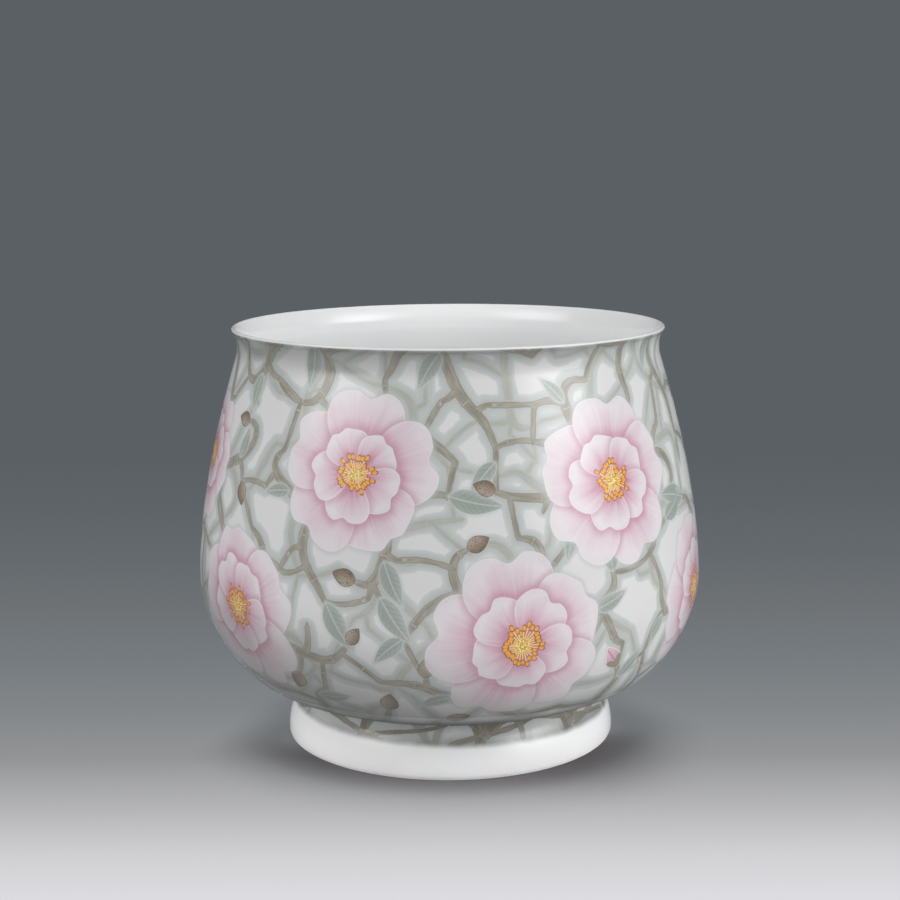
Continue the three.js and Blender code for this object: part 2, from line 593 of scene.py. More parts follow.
def inside_outline(depth, fineness=1.0):
    """From the crown of the lip to the middle of the floor, a depth behind the glaze's inside."""
    roll = lip_roll - depth
    lean = math.pi - inside_flare
    neck = neck_radius - neck_wall + depth
    rise = floor_thickness - depth
    level = underside_height + rise
    turn_part = turn_curve(wall - depth, rise, fineness)
    flank_part = flank_curve(wall - depth, neck_wall - depth, inside_neck_hold, fineness)
    return trace(
        arc(lip_centre, roll, math.pi / 2, lean, steps_of(fineness, 10)),
        lip_curve(steps_of(fineness, 16), neck, roll, lean, inside_flare)[::-1],
        curve(2, (neck, neck_top), (neck, neck_bottom)),
        trace(turn_part, flank_part)[::-1],
        curve(8, (underside_radius, level), (0, level)),
    )


def foot_outline(face, inset, bottom, top, steps):
    """A face of the foot, from its bare band up to where it leans in under the bowl."""
    low = np.array((face[0] - inset, bottom))
    high = np.array((face[1] - inset, top))
    return curve(steps, low, low + (0, foot_hold), high + foot_neck_hold, high)


# %% [markdown]
# ## Turning a piece
# Swinging an outline about the axis gives the mesh. Outlines run anticlockwise, so every face looks
# outwards, and a point on the axis becomes one shared corner. Each piece also gets a flat map in two
# bands, with most of the room for the side that shows, for when the finish is baked.

# %% The wheel
bands = 2
hidden_share = 0.04
map_margin = 0.01
sharpest_smooth = math.radians(32)
on_axis = 1e-6


def around_axis(radius, turn, level):
    """Points at angles round the axis, counted from the front."""
    return np.column_stack((radius * np.sin(turn), -radius * np.cos(turn), level))


def flat_places(outline, seen_rows):
    """How far up the flat map each point of the outline lies, with little room for what is hidden."""
    lengths = np.diff(run_along(outline))
    rows = np.arange(len(lengths))
    seen = (rows >= seen_rows[0]) & (rows < seen_rows[1])
    climbed = np.concatenate(([0], np.cumsum(lengths * np.where(seen, 1, hidden_share))))
    return climbed / climbed[-1]


def make_piece(name, node, outline, columns, seen_rows, close=True):
    """Swings an outline about the axis into a smooth piece that takes the place of its node."""
    if close:
        outline = np.vstack((outline, outline[:1]))
    rows = len(outline)
    index = np.zeros((rows, columns + 1), int)
    places = []
    spin = np.arange(columns) * math.tau / columns
    for row, (radius, level) in enumerate(outline):
        ring = around_axis(radius, spin, np.full(columns, level))
        if radius < on_axis:
            ring = ring[:1]
        if not close or row < rows - 1:
            index[row] = len(places) + np.arange(columns + 1) % len(ring)
            places.extend(ring * mm)
    if close:
        index[-1] = index[0]
    up = flat_places(outline, seen_rows)
    wide = 1 - 2 * map_margin
    half = columns // bands
    faces, map_places = [], []
    for row, column in np.ndindex(rows - 1, columns):
        band = column // half
        corners = []
        for r, c in ((row, column), (row, column + 1), (row + 1, column + 1), (row + 1, column)):
            if index[r, c] not in corners:
                corners.append(index[r, c])
                across = map_margin + wide * (c - band * half) / half
                map_places.append((across, (band + map_margin + wide * up[r]) / bands))
        faces.append(corners)
    mesh = bpy.data.meshes.new(name)
    mesh.from_pydata(places, [], faces)
    flat = mesh.uv_layers.new(name="OFBake")
    flat.uv.foreach_set("vector", np.array(map_places, np.float32).ravel())
    mesh.polygons.foreach_set("use_smooth", [True] * len(mesh.polygons))
    mesh.set_sharp_from_angle(angle=sharpest_smooth)
    piece = add_object(name, mesh)
    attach(piece, "root")
    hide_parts(node)
    print(name, "has", len(faces), "faces")
    return piece


# %% [markdown]
# ## The body, the foot ring and the slip between them
# Under the glaze lies the fired porcelain, which potters call biscuit. Bowl and foot ring are turned apart,
# because a full belly over a narrow foot can't be reached from one side, and are joined with slip. Only the
# edge that the bowl stands on stays bare. The hidden skins take wider steps.

# %% Turn the body, the ring and the slip
coarse = 0.25
quarter = math.pi / 2
painted_columns = 400
foot_columns = 288
body_outside = outside_outline(glaze, coarse)
body_inside = inside_outline(glaze, coarse)
dome_height = body_underside + base_rise
base_dome = curve(10, (0, dome_height), (seat_inner / 2, dome_height), (seat_inner, body_underside))
body_outline = np.vstack((base_dome, body_outside, body_inside[1:]))
whole_body = (0, len(body_outline))
bowl_body = make_piece("porcelain_body", "bowl_body", body_outline, 144, whole_body, close=False)

ring_outside = foot_outline(outer_face, glaze, bare_band, slip_low, 14)
ring_inside = foot_outline(inner_face, 0, inner_bare_band, slip_low, 12)
ring_outline = np.vstack((
    arc((ring_inner + edge_round, edge_round), edge_round, 2 * quarter, 3 * quarter, 5),
    arc((ring_outer - edge_round, edge_round), edge_round, 3 * quarter, 4 * quarter, 5),
    ring_outside,
    ring_inside[::-1],
))
ring_seen = (0, 14)
foot_ring = make_piece("porcelain_foot_ring", "foot_ring", ring_outline, foot_columns, ring_seen)

slip_outline = np.array([
    (seat_inner, slip_low),
    (seat_outer, slip_low),
    (seat_outer, body_underside),
    (seat_inner, body_underside),
])
luting_slip = make_piece("slip_joint", "luting_slip", slip_outline, 96, (1, 2))

# %% [markdown]
# ## The coats of glaze
# Glaze is a glass about 0.4 mm thick, and here each coat is a real shell with that thickness. The outside
# coat runs from the foot to the crown of the lip, and the inside coat goes on from there. Round the foot
# and under the base, the coat draws back from the standing edge and ends in a soft round bead.

# %% Turn the four coats
skin = outside_outline(0)
outside_shell = np.vstack((skin, body_outside[::-1]))
skin_seen = (0, len(skin) - 1)
outside_coat = make_piece(
    "painted_coat", "outside_glaze", outside_shell, painted_columns, skin_seen
)

inside_shell = np.vstack((body_inside[::-1], inside_outline(0)))
inside_seen = (len(body_inside), len(inside_shell))
inside_coat = make_piece(
    "inside_coat", "inside_glaze", inside_shell, 288, inside_seen, close=False
)

foot_bead = arc((foot_radius - glaze, bare_band + glaze), glaze, -quarter, 0, 5)
foot_skin = foot_outline(outer_face, 0, bare_band + glaze, underside_height, 30)
foot_top = [(seat_outer, body_underside)]
foot_shell = np.vstack((foot_bead, foot_skin[1:], foot_top, ring_outside[:0:-1]))
foot_seen = (0, len(foot_bead) + len(foot_skin) - 2)
foot_coat = make_piece("foot_coat", "foot_glaze", foot_shell, foot_columns, foot_seen)

base_bead = arc((ring_inner, inner_bare_band + glaze), glaze, 2 * quarter, 3 * quarter, 5)
base_skin = foot_outline(inner_face, glaze, inner_bare_band + glaze, underside_height, 16)[::-1]
skin_height = underside_height + base_rise
skin_dome = curve(10, (0, skin_height), (base_skin[0][0] / 2, skin_height), base_skin[0])
base_shell = np.vstack((skin_dome, base_skin[1:], base_bead[1:], ring_inside[1:], base_dome[::-1]))
base_seen = (0, len(skin_dome) + len(base_skin) - 1)
base_coat = make_piece("base_coat", "base_glaze", base_shell, 192, base_seen, close=False)

# %% [markdown]
# ## What all glazes share
# A fired glaze is never quite even. It lies in long, shallow ripples, only hundredths of a millimetre
# high, its gloss varies a little where it pooled or was wiped, and the kiln leaves a few specks. These are
# three node groups, which each glaze uses with its own values.

# %% Ripples, gloss and specks
ripple_inputs = {"Place": VECTOR, "Fine": NUMBER}
ripple, (place, fine), result = open_group("glaze ripple", ripple_inputs, {"Height": NUMBER})
feed(result, {"Height": cloud(place, 45.0, 1.0) + cloud(place, 420.0, 2.0) * fine})

gloss_inputs = {"Place": VECTOR, "Low": NUMBER, "High": NUMBER}
gloss, (place, low, high), result = open_group("glaze gloss", gloss_inputs, {"Roughness": NUMBER})
pooled = cloud(place, 28.0, 3.0)
wiped = cloud(place, 160.0, 4.0, 0.6)
feed(result, {"Roughness": between(low, high, pooled * 0.6 + wiped * 0.4)})

speck_inputs = {"Place": VECTOR, "Amount": NUMBER}
specks, (place, amount), result = open_group("kiln specks", speck_inputs, {"Cover": NUMBER})
cells = made(specks, "ShaderNodeTexVoronoi", {"Vector": place, "Scale": 95.0}, None)
distance, cell_colour = cells[:2]
chosen = step_between(split(cell_colour)[0], amount, amount - 0.02)
feed(result, {"Cover": step_between(distance, 0.045, 0.015) * chosen})
print("three groups for glaze: ripple, gloss and specks")


# %% [markdown]
# ## White glaze
# The inside, the base and the foot are bare white porcelain under clear glaze. White is a colour like any
# other: it turns a little blue where glaze lies deep and a little warm where it is thin. The gloss comes
# from a low roughness, and the shader's own Fresnel makes it stronger at a grazing angle.

# %% Make the white glazes
speck_colour = srgb(150, 138, 122)
ripple_depth = 0.00006


def finish_glaze(shader, place, colour, fine, low, high, dulled=None):
    """Gives a glaze its colour, ripple and gloss, and takes the gloss away where it is dulled."""
    shine = use_group(place.tree, gloss, Place=place, Low=low, High=high)["Roughness"]
    waves = use_group(place.tree, ripple, Place=place, Fine=fine)["Height"]
    dots = use_group(place.tree, specks, Place=place, Amount=0.10)["Cover"]
    feed(shader, {
        "Base Color": lay_over(colour, speck_colour, dots * 0.5),
        "Roughness": between(shine, 0.5, dulled) if dulled else shine,
        "Normal": bumped(waves, ripple_depth),
        "IOR": 1.5,
    })


def white_glaze(name, coat, thin, deep):
    shader, place = open_material(name, coat)
    finish_glaze(shader, place, lay_over(thin, deep, cloud(place, 22.0, 3.0)), 0.12, 0.07, 0.16)


white_glaze("white glaze inside", inside_coat, srgb(248, 248, 248), srgb(245, 246, 247))
white_glaze("white glaze under the base", base_coat, srgb(233, 232, 228), srgb(228, 229, 229))
print("the inside and the base are glazed white")

# %% [markdown]
# ## Bare porcelain and slip
# Fired porcelain without glaze feels like fine sandpaper. It is matt and slightly warm, with a grain finer
# than half a millimetre, and the standing edge is ground, so it shows faint scratches round the ring and
# a little grey from the shelf. The slip is the same clay, with the marks of the sponge that wiped it.

# %% Make the biscuit and the slip
shader, place = open_material("bare porcelain", bowl_body, foot_ring)
x, y, z = split(place)
grain = cloud(place, 2600.0, 3.0)
ground = step_between(z, 0.0012, 0.0002)
scratches = cloud(joined(length_of(x, y) * 9000.0, 0.0, 0.0), 1.0, 2.0)
clay = lay_over(srgb(249, 248, 245), srgb(244, 242, 238), cloud(place, 60.0, 3.0))
feed(shader, {
    "Base Color": lay_over(clay, srgb(196, 192, 184), ground * scratches * 0.6),
    "Roughness": between(0.62, 0.82, grain),
    "Normal": bumped(grain + scratches * ground, 0.00008),
    "Specular IOR Level": 0.35,
})

shader, place = open_material("slip", luting_slip)
x, y, z = split(place)
sponge = cloud(joined(x * 0.3, y * 0.3, z * 4.0), 700.0, 3.0)
feed(shader, {
    "Base Color": lay_over(srgb(228, 223, 212), srgb(214, 208, 196), sponge),
    "Roughness": between(0.7, 0.9, sponge),
    "Normal": bumped(sponge, 0.0002),
    "Specular IOR Level": 0.3,
})
print("the body and the ring are bare porcelain, joined with slip")

# %% [markdown]
# ## Laying out the painting
# The painter's surface is the skin of the outside coat. A place on it is given by the angle round the
# bowl, counted from the front, and by the run, which is the distance along the outline from the foot, in
# millimetres. Blossoms come first, because twigs grow round them. They stand in two staggered rows, each
# with its own size, spin and lean.

# %% The skin as a sheet
past_lip = 20.0
skin_run = run_along(skin)
lip_run = skin_run[-1]
foot_skin_run = run_along(foot_skin) - run_along(foot_skin)[-1]
sheet_run = np.concatenate((foot_skin_run[:-1], skin_run, [lip_run + past_lip]))
sheet_line = np.vstack((foot_skin[:-1], skin, [skin[-1] + (0, past_lip)]))


def radius_at(run):
    return np.interp(run, sheet_run, sheet_line[:, 0])


def level_at(run):
    return np.interp(run, sheet_run, sheet_line[:, 1])


def on_skin(turn, run):
    """Points of the skin, from the angle round the bowl and the run."""
    return around_axis(radius_at(run), turn, level_at(run))


def wrapped(turn):
    """An angle brought between minus and plus half a turn."""
    return (turn + math.pi) % math.tau - math.pi


def distances(places, place):
    return np.linalg.norm(places - place, axis=1)


# %% Where the blossoms stand
blossom_random = np.random.default_rng(11)
blossom_rows = ((147.0, -17.0, 36.5), (80.0, 13.0, 38.5))
row_count = 6
blossoms = []
for row_height, row_start, row_radius in blossom_rows:
    for number in range(row_count):
        drift = blossom_random.uniform(-1, 1, 3)
        blossoms.append({
            "turn": math.radians(row_start + number * 360 / row_count + 5 * drift[0]),
            "run": np.interp(row_height + 9 * drift[1], skin[:, 1], skin_run),
            "size": row_radius + 3.5 * drift[2],
            "spin": blossom_random.uniform(0, math.tau),
            "lean": blossom_random.uniform(0.0, 0.6),
            "heading": blossom_random.uniform(0, math.pi),
        })
print(len(blossoms), "large blossoms")

# %% [markdown]
# ## Growing the twigs
# Twigs fill a surface evenly: each bud grows towards the light that no other bud has reached. The same
# rule works in code. Points of light are scattered over the skin, every tip grows a short step towards the
# points nearest to it, and a point goes out once a tip is close. The trees start at the foot, at the lip
# and under the blossoms, and leave even gaps. Each twig is as thick as the twigs that it carries need.
# Most tips then grow on to the next twig, which closes the gaps all round.

# %% Scatter points of light
lowest_run = -14.0
highest_run = lip_run + 12.0


def scatter(random, spacing, tries):
    """Points on the skin that keep their distance from each other."""
    turns = random.uniform(-math.pi, math.pi, tries)
    runs = random.uniform(lowest_run, highest_run, tries)
    kept = random.uniform(0, belly_radius, tries) < radius_at(runs)
    turns, runs = turns[kept], runs[kept]
    places = on_skin(turns, runs)
    chosen = []
    for number, place in enumerate(places):
        if (distances(places[chosen], place) > spacing).all():
            chosen.append(number)
    return turns[chosen], runs[chosen]


def apart_from_blossoms(turns, runs, share):
    """True for points outside a share of every blossom's radius."""
    places = on_skin(turns, runs)
    middles = [on_skin(blossom["turn"], blossom["run"]) for blossom in blossoms]
    clear = [distances(places, middle) > share * flower["size"] for middle, flower in zip(middles, blossoms)]
    return np.all(clear, axis=0)


# %% Where twigs start
def starts_of(random, low_count, high_count, each):
    """Starts at the foot, at the lip and under the blossoms: turn, run and slant from upright."""
    starts = []
    for count, run, slant in ((low_count, -16.0, 0.0), (high_count, highest_run, math.pi)):
        for number in range(count):
            turn = (number + random.uniform(-0.35, 0.35)) * math.tau / count
            starts.append((turn, run, slant + random.uniform(-0.8, 0.8)))
    for blossom in blossoms:
        first = random.uniform(0, math.tau)
        for number in range(each):
            starts.append((blossom["turn"], blossom["run"], first + number * math.tau / each))
    return starts


# %% Grow a tree of twigs
light_tries = 9000
most_seasons = 260
light_clearance = 0.75
keep_heading = 0.8
waver = 0.12
growth_ends = (-17, lip_run + 14)


def grow(seed, start_counts, spacing, near, reach=45.0, step=3.0):
    """Grows trees over the skin: the turn, run and parent of each joint."""
    random = np.random.default_rng(seed)
    turns, runs, slants = (list(parts) for parts in zip(*starts_of(random, *start_counts)))
    parents = [-1] * len(turns)
    headings = [np.array((math.sin(slant), math.cos(slant))) for slant in slants]
    light_turns, light_runs = scatter(random, spacing, light_tries)
    clear = apart_from_blossoms(light_turns, light_runs, light_clearance)
    light_turns, light_runs = light_turns[clear], light_runs[clear]
    lights = on_skin(light_turns, light_runs)
    burning = np.ones(len(lights), bool)
    for season in range(most_seasons):
        joints = on_skin(np.array(turns), np.array(runs))
        gaps = np.linalg.norm(lights[burning][:, None] - joints[None], axis=2)
        nearest = gaps.argmin(axis=1)
        distance = gaps.min(axis=1)
        drawn = distance < reach
        alight = np.flatnonzero(burning)
        for joint in np.unique(nearest[drawn]):
            pulled = alight[drawn & (nearest == joint)]
            side = wrapped(light_turns[pulled] - turns[joint]) * radius_at(runs[joint])
            pull = np.column_stack((side, light_runs[pulled] - runs[joint]))
            pull = (pull / np.linalg.norm(pull, axis=1)[:, None]).mean(axis=0)
            heading = pull + keep_heading * headings[joint] + random.normal(0, waver, 2)
            heading = heading / np.linalg.norm(heading)
            turns.append(turns[joint] + step * heading[0] / radius_at(runs[joint]))
            runs.append(float(np.clip(runs[joint] + step * heading[1], *growth_ends)))
            parents.append(joint)
            headings.append(heading)
        burning[alight[distance < near]] = False
        if not drawn.any():
            break
    return np.array(turns), np.array(runs), np.array(parents)


# %% Thickness and branches
weight_power = 0.27
smoothing_rounds = 4


def twig_through(turns, runs, half):
    """A twig: the turn, run and place of each of its joints, and half its thickness there."""
    return {"turns": turns, "runs": runs, "places": on_skin(turns, runs), "half": half}


def branches_of(turns, runs, parents, thinnest, thickest):
    """Cuts a tree into twigs."""
    count = len(parents)
    weight = np.zeros(count)
    heaviest = np.full(count, -1)
    for joint in range(count - 1, -1, -1):
        weight[joint] += 1
        parent = parents[joint]
        if parent >= 0:
            weight[parent] += weight[joint]
            if heaviest[parent] < 0 or weight[joint] > weight[heaviest[parent]]:
                heaviest[parent] = joint
    half = np.clip(thinnest * weight**weight_power, thinnest, thickest)
    inner = np.flatnonzero((parents >= 0) & (heaviest >= 0))
    for smoothing in range(smoothing_rounds):
        for track in (turns, runs):
            beside = track[parents[inner]] + track[heaviest[inner]]
            track[inner] = 0.25 * beside + 0.5 * track[inner]
    twigs = []
    for joint, parent in enumerate(parents):
        if parent >= 0 and heaviest[parent] == joint:
            continue
        chain = [joint]
        while heaviest[chain[-1]] >= 0:
            chain.append(heaviest[chain[-1]])
        if parent >= 0:
            chain.insert(0, parent)
        if len(chain) > 2:
            thickness = half[chain]
            thickness[0] = thickness[1]
            twigs.append(twig_through(turns[chain], runs[chain], thickness))
    return twigs


# %% Close the meshes
least_forward = 0.25
joint_gap = 3
most_bow = 0.35


def closed_meshes(seed, twigs, free_share, reach=34.0):
    """Lets most tips grow on to the nearest other twig, so that the gaps are closed all round."""
    random = np.random.default_rng(seed)
    turns, runs = (np.concatenate([twig[kind] for twig in twigs]) for kind in ("turns", "runs"))
    places = on_skin(turns, runs)
    owners = np.repeat(np.arange(len(twigs)), [len(twig["runs"]) for twig in twigs])
    for number, twig in enumerate(twigs):
        tip = twig["places"][-1]
        ahead = tip - twig["places"][-3]
        gaps = distances(places, tip)
        forward = (places - tip) @ ahead > least_forward * gaps * np.linalg.norm(ahead)
        usable = (owners != number) & forward & (gaps < reach) & (gaps > joint_gap)
        twig["free"] = random.uniform() < free_share or not usable.any()
        if twig["free"]:
            continue
        goal = np.where(usable, gaps, np.inf).argmin()
        share = np.linspace(0, 1, max(3, round(gaps[goal] / joint_gap)) + 1)[1:]
        bow = share * (1 - share) * random.uniform(-most_bow, most_bow) * gaps[goal]
        new_turns = twig["turns"][-1] + share * wrapped(turns[goal] - twig["turns"][-1])
        new_runs = twig["runs"][-1] + share * (runs[goal] - twig["runs"][-1]) + bow
        half = np.append(twig["half"], np.full(len(share), twig["half"][-1]))
        grown = twig_through(np.append(twig["turns"], new_turns), np.append(twig["runs"], new_runs), half)
        twig.update(grown)
    return twigs


front_tree = grow(5, (8, 7, 2), spacing=13.0, near=7.5)
front_twigs = closed_meshes(3, branches_of(*front_tree, thinnest=1.22, thickest=2.4), free_share=0.35)
back_tree = grow(8, (7, 6, 1), spacing=14.0, near=8.0)
back_twigs = closed_meshes(4, branches_of(*back_tree, thinnest=1.05, thickest=1.9), free_share=0.15)
print(len(front_twigs), "twigs in front and", len(back_twigs), "behind")

# %% Twigs in the hollow of the foot
def hollow_twigs_of(seed, count):
    """Twigs that run slanting round the hollow of the foot."""
    random = np.random.default_rng(seed)
    share = np.linspace(0, 1, 14)
    twigs = []
    for number in range(count):
        start = (number + random.uniform(-0.25, 0.25)) * math.tau / count
        turns = start + share * random.uniform(0.45, 0.85)
        climb = random.choice((-1, 1)) * random.uniform(8, 13)
        runs = -7.5 + (share - 0.5) * climb + np.sin(share * 7 + number) * 0.5
        twigs.append(twig_through(turns, runs, random.uniform(1.05, 1.45) - 0.35 * share))
    return twigs


hollow_twigs = hollow_twigs_of(6, 13)

# %% [markdown]
# ## Leaves, buds and seed heads
# Leaves stand along the twigs by turns left and right, and the tips carry a pink bud or a brown seed head.
# A mark that would lie under a blossom, or on a mark like it, is left out, as a painter would.

# %% Place marks on the twigs
mark_random = np.random.default_rng(23)
leaf_gap = 34.0
leaf_joints = (5, 2, 9)
leaf_slants = (35, 55)
leaf_sizes = (15, 22)
above_foot = 6.0
below_lip = {"tip": 16.0, "leaf": 8.0}
blossom_clearance = {"tip": 1.0, "leaf": 0.95}
leaves, buds, seed_heads = [], [], []
tip_marks = (
    (0.25, buds, 40.0, (15, 19)),
    (0.75, seed_heads, 24.0, (9.5, 12.5)),
    (1.0, leaves, 15.0, (19, 27)),
)


def clear_of(marks, turn, run, distance):
    place = on_skin(turn, run)
    return all(np.linalg.norm(on_skin(mark["turn"], mark["run"]) - place) > distance for mark in marks)


def heading_at(twig, joint):
    """Which way a twig runs at a joint, as an angle on the sheet."""
    before, after = max(joint - 1, 0), min(joint + 1, len(twig["runs"]) - 1)
    side = (twig["turns"][after] - twig["turns"][before]) * radius_at(twig["runs"][joint])
    rise = twig["runs"][after] - twig["runs"][before]
    return math.atan2(rise, side)


for twig in front_twigs:
    last = len(twig["runs"]) - 1
    turn, run = twig["turns"][last], twig["runs"][last]
    inside = above_foot < run < lip_run - below_lip["tip"]
    open_ground = apart_from_blossoms(turn, run, blossom_clearance["tip"])[0]
    if twig["free"] and inside and open_ground:
        kind = mark_random.uniform()
        for share, marks, gap, sizes in tip_marks:
            if kind < share and clear_of(marks, turn, run, gap):
                size = mark_random.uniform(*sizes)
                marks.append({"turn": turn, "run": run, "heading": heading_at(twig, last), "size": size})
                break
    side = 1
    first_joint, before_last, joint_step = leaf_joints
    for joint in range(first_joint, last - before_last, joint_step):
        side = -side
        turn, run = twig["turns"][joint], twig["runs"][joint]
        heading = heading_at(twig, joint) + side * math.radians(mark_random.uniform(*leaf_slants))
        size = mark_random.uniform(*leaf_sizes)
        far_turn = turn + size * math.cos(heading) / radius_at(run)
        far_run = run + size * math.sin(heading)
        open_ground = apart_from_blossoms(far_turn, far_run, blossom_clearance["leaf"])[0]
        inside = far_run < lip_run - below_lip["leaf"]
        if open_ground and inside and clear_of(leaves, turn, run, leaf_gap):
            leaves.append({"turn": turn, "run": run, "heading": heading, "size": size})
print(len(leaves), "leaves,", len(buds), "buds and", len(seed_heads), "seed heads")

# %% [markdown]
# ## Marks on the mesh
# The shader draws each mark by a formula in the mark's own frame: how far a point lies along it and across
# it. Those places are worked out here for every corner of the mesh, from the marks nearest to each face,
# and kept as named attributes. They change smoothly over a face, so the drawn edges stay sharp.

# %% Corners of a painted skin
far_off = np.array((9999.0, 9999.0, 1.0))


def turns_of(places):
    return np.arctan2(places[:, 0], -places[:, 1])


class Skin:
    """The painted skin of a coat: where its faces, corners and points lie on the sheet."""

    def __init__(self, coat, columns, row_runs):
        self.mesh = coat.data
        places = np.zeros(len(self.mesh.vertices) * 3)
        self.mesh.vertices.foreach_get("co", places)
        self.point_places = places.reshape(-1, 3) / mm
        rows = np.arange(len(self.point_places)) // columns
        self.on_skin = rows < len(row_runs)
        self.faces = np.arange((len(row_runs) - 1) * columns)
        corners = np.zeros(len(self.mesh.loops), int)
        self.mesh.loops.foreach_get("vertex_index", corners)
        self.face_corners = np.arange(len(corners)).reshape(-1, 4)
        self.places = self.point_places[corners]
        self.runs = np.interp(rows, np.arange(len(row_runs)), row_runs)[corners]
        self.turns = turns_of(self.places)
        self.face_places = self.places[self.face_corners].mean(axis=1)
        self.face_runs = self.runs[self.face_corners].mean(axis=1)
        self.face_turns = turns_of(self.face_places)

    def places_in(self, owners, marks, frame):
        """The places of each face's corners in the frame of the mark that owns the face."""
        places = np.tile(far_off, (len(self.places), 1))
        for number, mark in enumerate(marks):
            corners = self.face_corners[self.faces[owners[self.faces] == number]].ravel()
            if len(corners):
                places[corners] = frame(corners, mark)
        return places

    def keep(self, name, values, kind="FLOAT_VECTOR", domain="CORNER", field="vector"):
        """Writes values onto the mesh under a name."""
        attribute = self.mesh.attributes.new(name, kind, domain)
        attribute.data.foreach_set(field, values.astype(np.float32).ravel())


bowl_skin = Skin(outside_coat, painted_columns, skin_run)
foot_run = np.concatenate((np.full(len(foot_bead) - 1, foot_skin_run[0]), foot_skin_run))
foot_part = Skin(foot_coat, foot_columns, foot_run)
print("the painted skins have", len(bowl_skin.faces) + len(foot_part.faces), "faces")


# %% Places along the nearest twigs
joints_searched = 20
edges_searched = 5
far_allowance = 0.7
stretch_shares = (0, 0.25, 0.5, 0.75)


def outward_at(turns, runs):
    """Which way the sheet faces."""
    above, below = runs + 0.5, runs - 0.5
    out = radius_at(above) - radius_at(below)
    up = level_at(above) - level_at(below)
    return around_axis(up, turns, -out)


def along_twig(places, outward, twig):
    """How far places lie along and across a twig, and half its thickness there."""
    starts, ends = twig["places"][:-1], twig["places"][1:]
    reach = ends - starts
    lengths = np.linalg.norm(reach, axis=1)
    share = ((places[:, None] - starts) * reach).sum(axis=2) / lengths**2
    share[:, :-1] = np.minimum(share[:, :-1], 1)
    share[:, 1:] = np.maximum(share[:, 1:], 0)
    share = np.clip(share, -3, 3)
    gaps = places[:, None] - (starts + share[..., None] * reach)
    distance = np.linalg.norm(gaps, axis=2)
    overrun = np.maximum(np.maximum(share - 1, -share), 0) * lengths
    stretch = (distance + overrun).argmin(axis=1)
    pick = (np.arange(len(places)), stretch)
    side = np.sign((gaps[pick] * np.cross(reach[stretch], outward)).sum(axis=1))
    run = run_along(twig["places"])[stretch] + share[pick] * lengths[stretch]
    whole = np.clip(share[pick], 0, 1)
    half = twig["half"][stretch] * (1 - whole) + twig["half"][stretch + 1] * whole
    return np.column_stack((run, side * distance[pick], half - 0.6 * overrun[pick]))


def tree_of(places):
    tree = kdtree.KDTree(len(places))
    for number, place in enumerate(places):
        tree.insert(place, number)
    tree.balance()
    return tree


def keep_nearest_twigs(part, twigs, names):
    """Keeps each face's places on its nearest twig, and on the nearest after that."""
    owners = np.repeat(np.arange(len(twigs)), [len(twig["places"]) - 1 for twig in twigs])
    tree = tree_of(np.vstack([twig["places"][1:] for twig in twigs]))
    nearest = np.full((2, len(part.face_places)), -1)
    for face in part.faces:
        found = tree.find_n(part.face_places[face], joints_searched)
        near = list(dict.fromkeys(owners[number] for place, number, distance in found))[:2]
        nearest[: len(near), face] = near
    outward = outward_at(part.turns, part.runs)

    def frame(corners, twig):
        return along_twig(part.places[corners], outward[corners], twig)

    for owner, name in zip(nearest, names):
        places = part.places_in(owner, twigs, frame)
        aside = places[part.face_corners, 1]
        distant = (abs(aside) - places[part.face_corners, 2]).min(axis=1) > 1.0
        places[part.face_corners[distant], 1] = abs(aside[distant])
        part.keep(name, places)


def keep_open_ground(part, near_twigs):
    """Keeps how far each point is from the edge of any twig, near or far."""
    entries, halves = [], []
    for twigs, allowance in ((near_twigs, 0.0), (back_twigs, far_allowance)):
        for twig in twigs:
            for share in stretch_shares:
                near, far = twig["places"][:-1], twig["places"][1:]
                entries.append(near * (1 - share) + far * share)
                halves.append(twig["half"][:-1] * (1 - share) + twig["half"][1:] * share - allowance)
    halves = np.concatenate(halves)
    tree = tree_of(np.vstack(entries))
    ground = np.zeros(len(part.point_places))
    for point in np.flatnonzero(part.on_skin):
        found = tree.find_n(part.point_places[point], edges_searched)
        ground[point] = min(distance - halves[number] for place, number, distance in found)
    part.keep("open_ground", ground, "FLOAT", "POINT", "value")


for part, near_twigs in ((bowl_skin, front_twigs), (foot_part, front_twigs + hollow_twigs)):
    keep_nearest_twigs(part, near_twigs, ("twig", "twig_beside"))
    keep_nearest_twigs(part, back_twigs, ("far_twig", "far_twig_beside"))
    keep_open_ground(part, near_twigs)
print("twigs are laid out on both skins")


# %% Places in the frames of blossoms, leaves, buds and seed heads
def in_frame(turns, runs, mark):
    """Places along and across a mark's heading, from the mark's own place."""
    side = wrapped(turns - mark["turn"]) * radius_at(runs)
    rise = runs - mark["run"]
    cosine, sine = math.cos(mark["heading"]), math.sin(mark["heading"])
    return side * cosine + rise * sine, rise * cosine - side * sine


def keep_nearest_marks(part, marks, names, middle, breadth):
    """Keeps each face's places in the frame of its nearest mark, leaned and spun, and of the next."""

    def gap_to(mark):
        along, across = in_frame(part.face_turns, part.face_runs, mark)
        return np.hypot((along / mark["size"] - middle) / (1 - middle), across / (breadth * mark["size"]))

    def frame(corners, mark):
        along, across = in_frame(part.turns[corners], part.runs[corners], mark)
        place = along / math.cos(mark.get("lean", 0)) + 1j * across
        place = place * np.exp(1j * mark.get("spin", 0))
        return np.column_stack((place.real, place.imag, np.full(len(place), mark["size"])))

    owners = np.argsort([gap_to(mark) for mark in marks], axis=0, kind="stable")[: len(names)]
    for owner, name in zip(owners, names):
        part.keep(name, part.places_in(owner, marks, frame))


